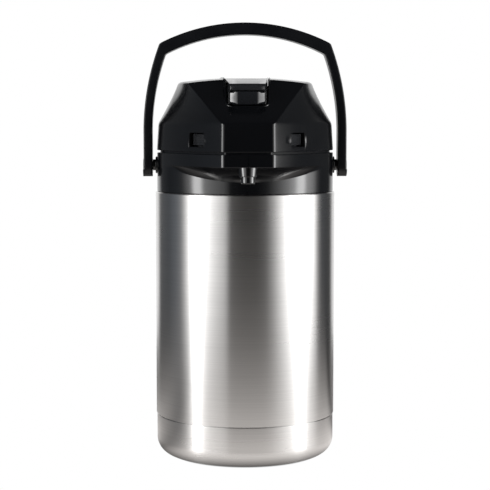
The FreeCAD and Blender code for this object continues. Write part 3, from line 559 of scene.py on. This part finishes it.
def lid_rings():
    edge = 0.8
    wide, reach, half = LID_RADIUS, BEAK_REACH, BEAK_HALF
    foot_in = beak_ring(wide - 2.5, reach - 2.5, half - 1.8, LID_BOTTOM, corner=2.0)
    foot_near = beak_ring(wide - edge, reach - edge, half - edge * 0.7, LID_BOTTOM, corner=3.8)
    foot = beak_ring(wide, reach, half, LID_BOTTOM)
    brow = beak_ring(wide - 1.4, reach - 0.3, half - 0.2, BROW)
    roof = beak_ring(wide - 20.9, reach - 74.4, half + 34.4, ROOF, -2.0, 2.0)
    top = meet_dome(brow, roof)
    rings = [foot_in] + soften(foot_near, foot, between(foot, brow, 0.034), 4)
    rings += [between(foot, brow, share) for share in (0.3, 0.6)]
    slope = gap_between(brow, top)
    rings += soften(between(foot, brow, 0.9), brow, between(brow, top, [2.3 / s for s in slope]), 5)
    rings += [between(brow, top, share) for share in (0.2, 0.4, 0.6, 0.8)]
    spokes = gap_between(top, [(0, 10, z) for _, _, z in top])
    shoulder = over_dome(top, [1 - 3.0 / s for s in spokes])
    rings += soften(between(brow, top, [1 - 3.0 / s for s in slope]), top, shoulder, 6)
    rings += [over_dome(shoulder, share) for share in (0.9, 0.75, 0.6, 0.45, 0.3, 0.15, 0.02)]
    inner_brow = beak_ring(wide - 3.9, reach - 3, half - 2.3, BROW - 0.6, corner=2.0)
    inner_roof = beak_ring(wide - 23.3, reach - 79, half + 31.7, ROOF - 1, -2.0, 1.0)
    ceiling = between(inner_brow, inner_roof, 0.8)
    rings += [over_dome(ceiling, share, 3.4) for share in (0.02, 0.3, 0.6, 0.9)]
    rings += [ceiling, between(inner_brow, ceiling, 0.5), inner_brow]
    return rings


def notch_ring(height, grow=0.0):
    """Plan outline of the lever's notch."""
    front, rear = ARM.right - 5.7 + grow, ARM.right + 0.9 + grow
    near, far = ARM.front - 1.1 - grow, ARM.back + 1.9 + grow
    ring = rounded([(-front - 0.1, near, 5.6 + grow), (front + 0.1, near, 5.6 + grow),
                    (rear, far, 1.5), (-rear, far, 1.5)], 8)
    dense = []
    for index, point in enumerate(ring):
        after = ring[(index + 1) % len(ring)]
        steps = max(1, int(math.dist(point, after) / 4))
        dense += [tuple(a + (b - a) * k / steps for a, b in zip(point, after)) for k in range(steps)]
    return [(x, y, height) for x, y in dense]


def latch_point(sign, along, inward, height):
    """A point given along a flank, into the lid and up."""
    angle = math.radians(56)
    return (sign * 43.4 + along * math.cos(angle) - sign * inward * math.sin(angle),
            -82.6 + sign * along * math.sin(angle) + inward * math.cos(angle), height)


def make_lid():
    lid = make_piece("lid_cover", *skin(lid_rings(), closed=True), "lid_black", "lid", ["lid_shell"])
    low, high = LID_PLATE.foot - 0.8, LID_BOTTOM + 0.6
    wide, reach, half = LID_PLATE.right + 0.6, 0.5 - LID_PLATE.front, BEAK_HALF - 3.2
    outside = [beak_ring(wide + 1.3, reach + 1.3, half + 0.9, height, corner=2.0) for height in (low, high)]
    inside = [beak_ring(wide, reach, half, height, corner=1.5) for height in (high, low)]
    make_piece("lid_lip", *skin(outside + inside, closed=True), "matte_black", "lid")
    return lid


# Latch opening: half its length, and how much wider it is at each depth.
WINDOW_HALF = 10.9
WINDOW_FLARE = ((-4, 1.7), (-0.02, 1.7), (0.15, 1.0), (0.5, 0.45), (1.1, 0.1), (1.6, 0), (12, 0))
# Thumb scoop, cut by an ellipsoid: its place along the flank, then half its length, thickness and height.
SCOOP_ALONG, SCOOP_HALF, SCOOP_THICK, SCOOP_TALL = -16.2, 6.5, 2.2, 3.6


def make_lid_details(lid):
    """Notch, latch openings, thumb scoops, hinge room and the knuckle that fills it."""
    rows = [notch_ring(height) for height in (BROW + 5.3, CREST + 7)]
    cut(lid, *capped(rows))
    for _, sign in SIDES:
        rows = []
        for inward, grow in WINDOW_FLARE:
            half, low, high = WINDOW_HALF + grow, LID_BOTTOM + 4.5 - grow, TAB.top + 0.4 + grow
            window = rounded([(x, z, 0.7 + grow) for x, z in
                              ((-half, low), (half, low), (half, high), (-half, high))], 3)
            rows.append([latch_point(sign, along, inward, height) for along, height in window])
        cut(lid, *capped(rows))
        hollow = []
        for step in range(1, 20):
            tilt = math.pi * step / 20
            hollow.append([latch_point(sign, sign * (SCOOP_ALONG + SCOOP_HALF * math.sin(tilt) * math.cos(a)),
                                       -1.1 + SCOOP_THICK * math.sin(tilt) * math.sin(a),
                                       LID_BOTTOM + 9.4 + SCOOP_TALL * math.cos(tilt))
                           for a in (2 * math.pi * k / 40 for k in range(40))])
        cut(lid, *capped(hollow))
    y, z, room = LID_HINGE.y, LID_HINGE.z, LID_HINGE.right + 1
    cut(lid, *prism(rounded([(y - 8, z - 9), (y + 11, z - 9), (y + 11, z + 6), (y - 8, z + 6, 1)], 4),
                    -room, room, 0.2))
    knuckle = rounded([(y - 6.4, z - 2), (y, z - 4.6, 4), (y + 4.6, z - 3, 4), (y + 4.6, z + 3, 4),
                       (y, z + 5, 3), (y - 3.6, z + 7), (y - 6.4, z + 7)], 5)
    make_piece("lid_knuckle", *prism(knuckle, -11.5, 11.5, 0.7), "lid_black", "lid")


def make_lid_inside():
    """Screw bosses and the two lugs that carry the lever's pin."""
    near, far = SCREWS.front + 3, SCREWS.back - 3
    wide, low, high = SCREWS.right - 3, LID_BOTTOM + 2.1, LEVER_PIN.foot - 4.3
    for index, (x, y) in enumerate(((-wide, near), (wide, near), (22 - wide, far), (wide - 22, far))):
        make_piece("screw_boss_%d" % (index + 1), *turn(rounded([
            (1.6, low, 0.3), (4, low, 0.4), (4.4, high), (1.6, high)]), at=(x, y, 0), around=48),
            "lid_black", "lid")
    y, z, end = LEVER_PIN.y, LEVER_PIN.z, LEVER_PIN.right
    lug = rounded([(y - 5, z - 5, 4.5), (y + 5, z - 5, 4.5), (y + 5, z + 3.5), (y - 5, z + 3.5)], 6)
    for side, sign in SIDES:
        make_piece("pin_lug_" + side, *prism(lug, sign * (end - 4.2), sign * (end - 0.2), 0.5),
                   "lid_black", "lid")


def make_latch_pockets():
    """Box behind each latch opening, open in front and below, so nothing shows past the tab."""
    for side, sign in SIDES:
        blocks = []
        for half, near, far, low, high in (
                (12.6, 1.9, 13.2, LID_PLATE.top + 0.2, TAB.top + 2.6),
                (11.5, 1.0, 12.2, LID_PLATE.top - 1, TAB.top + 1.6)):
            blocks.append(capped([[latch_point(sign, along, inward, height) for along, inward in
                                   ((-half, near), (half, near), (half, far), (-half, far))]
                                  for height in (low, high)]))
        pocket = make_piece("latch_pocket_" + side, *blocks[0], "lid_black", "lid")
        cut(pocket, *blocks[1])


def make_notch_rim(lid):
    """Slightly proud, rounded lip round the lever's notch."""
    inverse = lid.matrix_world.inverted()

    def surface(x, y):
        top = inverse @ Vector((x * MM, y * MM, 0.4))
        found, place, _, _ = lid.ray_cast(top, Vector((0, 0, -1)))
        return place.z / MM if found else dome_height(x, y)

    outline_out = notch_ring(0, 2.0)
    rings = []
    plans = [notch_ring(0, grow) for grow in (0.05, 0.05, 0.4, 1.0, 1.7, 2.0)]
    heights = [surface(x, y) for x, y, _ in outline_out]
    for plan, lift in zip(plans, (-2.4, 0.2, 0.85, 1.05, 0.6, -0.5)):
        rings.append([(x, y, height + lift) for (x, y, _), height in zip(plan, heights)])
    make_piece("notch_rim", *skin(rings, closed=True), "lid_black", "lid")


# ---- lever -----------------------------------------------------------------------

def make_lever():
    """Wedge-shaped press lever with a satin face and a gloss insert at its tip."""
    nose, low, top, back = ARM.front, ARM.foot, ARM.top, ARM.back
    heel = LEVER_PIN.foot - 2
    side = rounded([
        (nose + 4.4, low), (nose + 4.4, low + 10.7, 0.4), (nose + 0.5, low + 11.7, 0.7),
        (nose + 0.1, low + 14.6, 1.0), (nose + 2.3, low + 17.1, 1.4), (-22, top - 1.1, 8),
        (20, top - 0.1, 8), (back - 4.6, top - 2.2, 4), (back, top - 5.3, 2), (back, heel, 1),
        (back - 9.2, heel, 2), (38, top - 7.3, 3), (-30, top - 7.9, 4), (-66, low + 11.5, 3),
        (-73, low, 1)], 5)
    taper = nose + 5.1

    def half_at(y):
        slope = 0.415 if y < taper else 0.0453
        return ARM.right - 6 + (y - taper) * slope

    rings = []
    for share, inset in ((-1, 0.9), (-0.985, 0.3), (-0.955, 0), (-0.5, 0), (0, 0), (0.5, 0),
                         (0.955, 0), (0.985, 0.3), (1, 0.9)):
        ring = []
        for index, (y, z) in enumerate(side):
            before, after = Vector(side[index - 1]), Vector(side[(index + 1) % len(side)])
            along = (after - before).normalized()
            y_in, z_in = y + along.y * -inset, z + along.x * inset
            ring.append((half_at(y) * share, y_in, z_in))
        rings.append(ring)
    make_piece("press_lever", *capped(rings), "lever_satin", "lever", ["lever_arm"])
    ball, centre, high = 6, LEVER_PIN.z, top - 6.2
    angles = [math.radians(6 * k) for k in range(16)]
    bowl = [(ball * math.sin(a), centre - ball * math.cos(a)) for a in angles]
    make_piece("lever_pusher", *turn([(0.01, high)] + [(max(r, 0.01), z) for r, z in bowl] + [(ball, high)],
                                     around=48), "lever_satin", "lever")
    wide, near, far = NOSE.right - 0.1, NOSE.front + 0.05, NOSE.back - 0.05
    plan = rounded([(-wide, far), (-wide, far - 0.6, 0.3), (6 - wide, near, 1.6), (wide - 6, near, 1.6),
                    (wide, far - 0.6, 0.3), (wide, far)], 5)
    rings = []
    for up, inset in ((0, 0.6), (0.2, 0.2), (0.6, 0), (-0.6, 0), (-0.2, 0.2), (0, 0.6)):
        height = (NOSE.foot if len(rings) < 3 else NOSE.top) + up
        rings.append([(x * (1 - inset / 15), far - inset if y > far - 0.05 else y + inset, height)
                      for x, y in plan])
    make_piece("lever_front_insert", *capped(rings), "gloss_insert", "lever", ["lever_insert"], sharp=50)


# ---- latches ---------------------------------------------------------------------

# Ends of a press tab: place along it and how far the face is set back there.
TAB_ENDS = ((-10.5, 0.5), (-10.2, 0.1), (-9.9, 0), (0, 0), (9.9, 0), (10.2, 0.1), (10.5, 0.5))


def make_latches():
    """Ribbed press tabs, each with its hook."""
    for side, sign in SIDES:
        profile = []
        ribs = 5
        low, high = LID_BOTTOM + 5.1, TAB.top - 0.2
        pitch = (high - low) / ribs
        for rib in range(ribs):
            foot = low + pitch * rib
            profile += [(4.35, foot + 0.12 * pitch), (3.75, foot + 0.42 * pitch), (3.72, foot + 0.62 * pitch),
                        (4.3, foot + 0.92 * pitch)]
        profile += [(8.3, high), (8.3, low)]
        rings = []
        for along, inset in TAB_ENDS:
            rings.append([latch_point(sign, along, min(inward + inset, 8.3), height)
                          for inward, height in profile])
        name = "latch_" + side
        make_piece("press_tab_" + side, *capped(rings), "lever_satin", name, ["latch_tab_" + side], sharp=50)
        foot, root = TAB.foot + 0.1, low + 2.4
        hook = rounded([(-4.8, foot, 0.5), (4.8, foot, 0.5), (4.8, root), (-4.8, root)], 3)
        make_piece("latch_hook_" + side, *capped([
            [latch_point(sign, along, inward, height) for along, height in hook]
            for inward in (5.6, 5.9, 7.3, 7.6)]), "lever_satin", name)


# ---- handle ----------------------------------------------------------------------

def arc_points(start, end, radius, count):
    """Points on the arc from start to end bulging to the right of the way."""
    start, end = Vector(start), Vector(end)
    chord = end - start
    left = Vector((-chord.y, chord.x)).normalized()
    centre = (start + end) / 2 + left * math.sqrt(radius ** 2 - chord.length_squared / 4)
    first, last = start - centre, end - centre
    sweep = -first.angle_signed(last)
    points = []
    for step in range(count + 1):
        across, along = math.cos(sweep * step / count), math.sin(sweep * step / count)
        points.append(tuple(centre + Vector((first.x * across - first.y * along,
                                             first.x * along + first.y * across))))
    return points


def arch_radius(half, rise):
    return (half * half + rise * rise) / (2 * rise)


def bail_side(side_x, foot_x, corner, top, flare):
    """Right half of one edge of the bail, from the arm's foot to the middle of the grip."""
    points = []
    for step in range(13):
        tilt = math.pi / 2 * (1 - step / 12)
        height = BAIL.foot + 9.7 * (1 - math.sin(tilt))
        points.append((foot_x if height < BAIL.foot + 6.4 else side_x, height) if flare else (side_x, height))
    points += [(side_x, BAIL.foot + up) for up in (11.5, 15.5, 21.5, 27.5, 33.5)]
    start = BAIL.foot + 39.5
    lean = arc_points((side_x, start), corner, arch_radius(corner[1] - start, side_x - corner[0]), 60)
    arch = arc_points(corner, (0, top), arch_radius(corner[0], top - corner[1]), 60)
    return points + lean[:-1] + curve(lean[-2], corner, arch[2], 6)[1:] + arch[3:]


def make_handle():
    """Arms and arched grip as one band with rounded long edges."""
    wide, top, depth, soft = BAIL.right, BAIL.top, BAIL.back, 1.7
    outer = bail_side(wide - 0.7, wide, (wide - 15.2, top - 18.4), top, True)
    inner = bail_side(wide - 8.5, wide - 8.5, (wide - 20.6, top - 27.8), top - 10.6, False)
    rings = []
    pairs = list(zip(outer, inner))
    pairs += [((-o[0], o[1]), (-i[0], i[1])) for o, i in pairs[-2::-1]]
    for (ox, oz), (ix, iz) in pairs:
        reach = depth * math.sqrt(max(0.006, 1 - max(0.0, (BAIL.foot + 9.7 - oz) / 9.75) ** 2))
        width = math.hypot(ox - ix, oz - iz) / 2
        edge = min(soft, 0.7 * reach)
        ring = []
        for u, v in rounded([(-width, -reach, edge), (width, -reach, edge), (width, reach, edge),
                             (-width, reach, edge)], 5):
            share = 0.5 + u / (2 * width)
            ring.append((ix + (ox - ix) * share, v, iz + (oz - iz) * share))
        rings.append(ring)
    root, tip = STUD.left + 0.1, STUD.right - 0.1
    make_piece("carry_bail", *capped(rings), "matte_black", "handle", ["handle_bail"])
    for side, sign in SIDES:
        make_piece("pivot_cap_" + side, *turn(rounded([
            (0.01, sign * (CAP.left + 0.1)), (6, sign * (CAP.left + 0.1)), (6, sign * (CAP.right + 0.5), 0.7),
            (4.6, sign * (CAP.right + 0.5), 0.5), (4.2, sign * (CAP.right + 0.1), 0.4),
            (0.01, sign * (CAP.right + 0.1))]), at=(0, CAP.y, CAP.z), around=64, axis="X"),
            "matte_black", "handle", ["handle_cap_" + side])
        make_piece("pivot_pin_" + side, *turn(rounded([
            (0.01, sign * root), (5.5, sign * root, 0.4), (5.5, sign * (root + 2.5)),
            (4.95, sign * (root + 2.5)), (4.95, sign * (root + 9.4), 0.3), (3.5, sign * (root + 9.4)),
            (3.5, sign * tip, 0.3), (0.01, sign * tip)]), at=(0, STUD.y, STUD.z), around=64, axis="X"),
            "gloss_black", "body", ["handle_pin_" + side])


# ---- nozzle ----------------------------------------------------------------------

def make_nozzle():
    """Short flared ring under the beak with the rounded tip inside it."""
    low, high = RING.foot + 0.1, RING.top
    make_piece("spout_ring", *turn(rounded([
        (6.25, low), (7.5, low, 0.7), (8.3, low + 7.1, 1.5), (8.3, high - 1), (10.3, high - 1, 0.3),
        (10.3, high, 0.3), (6.25, high)], 5), at=(0, RING.y, 0), around=96),
        "nozzle_black", "body", ["nozzle_ring"])
    low, high = TIP.foot + 0.05, TIP.top
    make_piece("spout_tip", *turn(rounded([
        (3.2, low, 0.3), (6.05, low, 2.6), (6.05, high), (4.65, high), (4.65, low + 4.9),
        (3.2, low + 4.9, 0.3)], 6), at=(0, TIP.y, 0), around=96), "nozzle_black", "body", ["nozzle_tip"])


# ---- pump ------------------------------------------------------------------------

def make_pump():
    """Pleated bellows and its spring, each given a mesh of its own."""
    foot, top, folds = FOLDS.foot + 0.05, FOLDS.top, 5
    pitch = (top - foot) / folds
    outside, inside = [], []
    for fold in range(folds):
        outside += [(32.2, foot + pitch * fold), (37.9, foot + pitch * (fold + 0.5), 1.6)]
        inside += [(30.8, foot + pitch * fold), (36.5, foot + pitch * (fold + 0.5), 1.6)]
    outside.append((32.2, top))
    inside.append((30.8, top))
    bellows = make_piece("pump_bellows", *turn(rounded(outside + inside[::-1]), around=128),
                         "bellows_rubber", "lid", ["bellows"])
    rings = []
    turns, wire = 5, 1.1
    radius = COIL.right - wire
    steps = 48 * turns
    for step in range(steps + 1):
        bearing = 2 * math.pi * step / 48
        height = COIL.foot + wire + (COIL.top - COIL.foot - 2 * wire) * step / steps
        rings.append([((radius + wire * math.cos(b)) * math.cos(bearing),
                       (radius + wire * math.cos(b)) * math.sin(bearing), height + wire * math.sin(b))
                      for b in (2 * math.pi * k / 12 for k in range(12))])
    spring = make_piece("return_spring", *capped(rings), "plain_steel", "lid", ["pump_spring"])
    for piece in (bellows, spring):
        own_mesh(piece)


# ---- studio --------------------------------------------------------------------

# Light round the studio as (degrees from the camera's side towards +X, brightness, blueness).
STUDIO_RING = (
    (-180, 1.00, 0.0), (-168, 1.00, 0.0), (-152, 0.90, 0.0), (-142, 0.13, 0.3), (-116, 0.10, 0.9),
    (-100, 0.18, 0.9), (-91, 0.30, 0.3), (-84, 0.95, 0.0), (-76, 2.20, 0.0), (-70, 9.00, 0.0),
    (-62, 9.00, 0.0), (-56, 2.60, 0.0), (-44, 1.70, 0.0), (-34, 1.20, 0.0), (-26, 0.85, 0.0),
    (-21, 0.08, 0.0), (-3, 0.03, 0.0), (14, 0.03, 0.0), (26, 0.12, 0.0),
    (36, 0.60, 0.0), (45, 1.40, 0.0), (56, 2.60, 0.0), (66, 4.50, 0.0), (72, 9.00, 0.0),
    (80, 9.00, 0.0), (86, 3.60, 0.0), (99, 1.80, 0.0), (106, 0.40, 0.0), (113, 0.09, 0.6),
    (140, 0.06, 0.2), (152, 0.85, 0.0), (180, 1.00, 0.0),
)


def make_world():
    """White to the camera; for light and reflections, a ring of brightness under a dark roof."""
    world = bpy.data.worlds.new("studio")
    bpy.context.scene.world = world
    world.use_nodes = True
    tree = world.node_tree
    tree.nodes.clear()

    def add(kind, **settings):
        node = tree.nodes.new("ShaderNode" + kind)
        for key, value in settings.items():
            setattr(node, key, value)
        return node

    def join(source, target):
        tree.links.new(source, target)

    def maths(operation, first, second=None):
        node = add("Math", operation=operation)
        for slot, value in enumerate((first, second)):
            if isinstance(value, (int, float)):
                node.inputs[slot].default_value = value
            elif value is not None:
                join(value, node.inputs[slot])
        return node.outputs[0]

    direction = add("SeparateXYZ")
    join(add("TexCoord").outputs["Generated"], direction.inputs[0])
    x, y, z = direction.outputs
    angle = maths("ARCTAN2", x, maths("MULTIPLY", y, -1))
    place = maths("ADD", maths("MULTIPLY", angle, 0.5 / math.pi), 0.5)
    ring = add("ValToRGB")
    elements = ring.color_ramp.elements
    for _ in STUDIO_RING[2:]:
        elements.new(0.5)
    for element, (degrees, brightness, blue) in zip(elements, STUDIO_RING):
        element.position = (degrees + 180) / 360
        element.color = (brightness * (1 - 0.12 * blue), brightness * (1 - 0.03 * blue),
                         brightness * (1 + 0.10 * blue), 1)
    join(place, ring.inputs[0])

    high = add("MapRange", interpolation_type="SMOOTHSTEP")
    for key, value in (("From Min", 0.50), ("From Max", 0.74), ("To Min", 0.0), ("To Max", 1.0)):
        high.inputs[key].default_value = value
    join(maths("ADD", z, maths("MULTIPLY", maths("MAXIMUM", y, 0), 0.32)), high.inputs["Value"])
    roof = add("Mix", data_type="RGBA")
    join(high.outputs["Result"], roof.inputs[0])
    join(ring.outputs["Color"], roof.inputs[6])
    roof.inputs[7].default_value = (0.035, 0.036, 0.040, 1)

    seen = add("Background")
    seen.inputs["Color"].default_value = (1, 1, 1, 1)
    lit = add("Background")
    join(roof.outputs[2], lit.inputs["Color"])
    mix = add("MixShader")
    join(add("LightPath").outputs["Is Camera Ray"], mix.inputs[0])
    join(lit.outputs[0], mix.inputs[1])
    join(seen.outputs[0], mix.inputs[2])
    out = add("OutputWorld")
    join(mix.outputs[0], out.inputs["Surface"])


# Brightness of the floor as reflected, by distance from the airpot in metres: a glow standing in for the lit
# floor, whose dark values close to the airpot are painted contact shade.
FLOOR_GLOW_AND_PAINTED_SHADE = (
    (0.0, 0.01), (0.066, 0.03), (0.09, 0.95), (0.12, 1.10), (0.28, 0.42), (0.48, 0.13), (0.70, 0.05),
)
FLOOR_TINT = (1.03, 0.985, 0.955)


def make_floor():
    """Plain pale floor: white to the camera but for a painted contact shadow round the foot; in reflections a
    glow fading with distance, with painted shade near the foot and to the back left.
    """
    furthest = FLOOR_GLOW_AND_PAINTED_SHADE[-1][0]
    bpy.ops.mesh.primitive_circle_add(vertices=128, radius=furthest, fill_type="NGON")
    floor = bpy.context.object
    floor.name = "floor"
    look = Nodes("pale_floor")
    away = look.add("VectorMath", operation="LENGTH")
    look.join(look.position(), away.inputs[0])
    ramp = look.add("ValToRGB")
    elements = ramp.color_ramp.elements
    for distance, _ in FLOOR_GLOW_AND_PAINTED_SHADE[1:-1]:
        elements.new(distance / furthest)
    for element, (_, brightness) in zip(elements, FLOOR_GLOW_AND_PAINTED_SHADE):
        element.color = (*(brightness * tint for tint in FLOOR_TINT), 1)
    look.join(look.span(away.outputs["Value"], 0, 1, 0, furthest), ramp.inputs[0])
    reflected = look.add("Emission")
    look.join(ramp.outputs["Color"], reflected.inputs["Color"])
    # Painted shade: the reflected glow is dimmed in a band just behind and to the left of the airpot.
    behind = look.add("VectorMath", operation="DOT_PRODUCT")
    behind.inputs[1].default_value = (-0.5, 0.87, 0)
    look.join(look.position(), behind.inputs[0])
    shade = look.add("Math", operation="MAXIMUM")
    look.join(look.span(behind.outputs["Value"], 1.0, 0.2, -0.02, 0.045), shade.inputs[0])
    look.join(look.span(behind.outputs["Value"], 0.2, 0.75, 0.05, 0.14), shade.inputs[1])
    look.join(shade.outputs[0], reflected.inputs["Strength"])
    # Painted contact shadow: the floor the camera sees is darkened under the foot, out to just past its edge.
    seen = look.add("Emission", Color=(1, 1, 1, 1))
    look.join(look.span(away.outputs["Value"], 0.30, 1.0, 0.0632, 0.0665), seen.inputs["Strength"])
    mix = look.add("MixShader")
    look.join(look.add("LightPath").outputs["Is Camera Ray"], mix.inputs[0])
    look.join(reflected.outputs[0], mix.inputs[1])
    look.join(seen.outputs[0], mix.inputs[2])
    look.join(mix.outputs[0], look.tree.nodes["Material Output"].inputs["Surface"])
    floor.data.materials.append(look.material)


def make_camera():
    """Straight ahead of the beak, a little to the left and just below the lid's top."""
    distance = 1.350
    height = 0.3008
    turn = -0.0248
    down = 0.083
    camera = bpy.data.objects.new("camera", bpy.data.cameras.new("camera"))
    bpy.context.scene.collection.objects.link(camera)
    camera.location = (distance * math.sin(turn), -distance * math.cos(turn), height)
    camera.rotation_euler = (math.pi / 2 - down, 0, turn)
    camera.data.sensor_width = 36
    camera.data.lens = 110.5
    bpy.context.scene.camera = camera


def make_studio():
    """Light, floor and camera; none of them belongs to the airpot."""
    bpy.context.scene.view_settings.view_transform = "Standard"
    make_world()
    make_floor()
    make_camera()


dress_cad_nodes()
make_flask()
make_collar()
make_nozzle()
lid = make_lid()
make_lid_details(lid)
make_lid_inside()
make_latch_pockets()
make_notch_rim(lid)
make_lever()
make_latches()
make_handle()
make_pump()
make_studio()
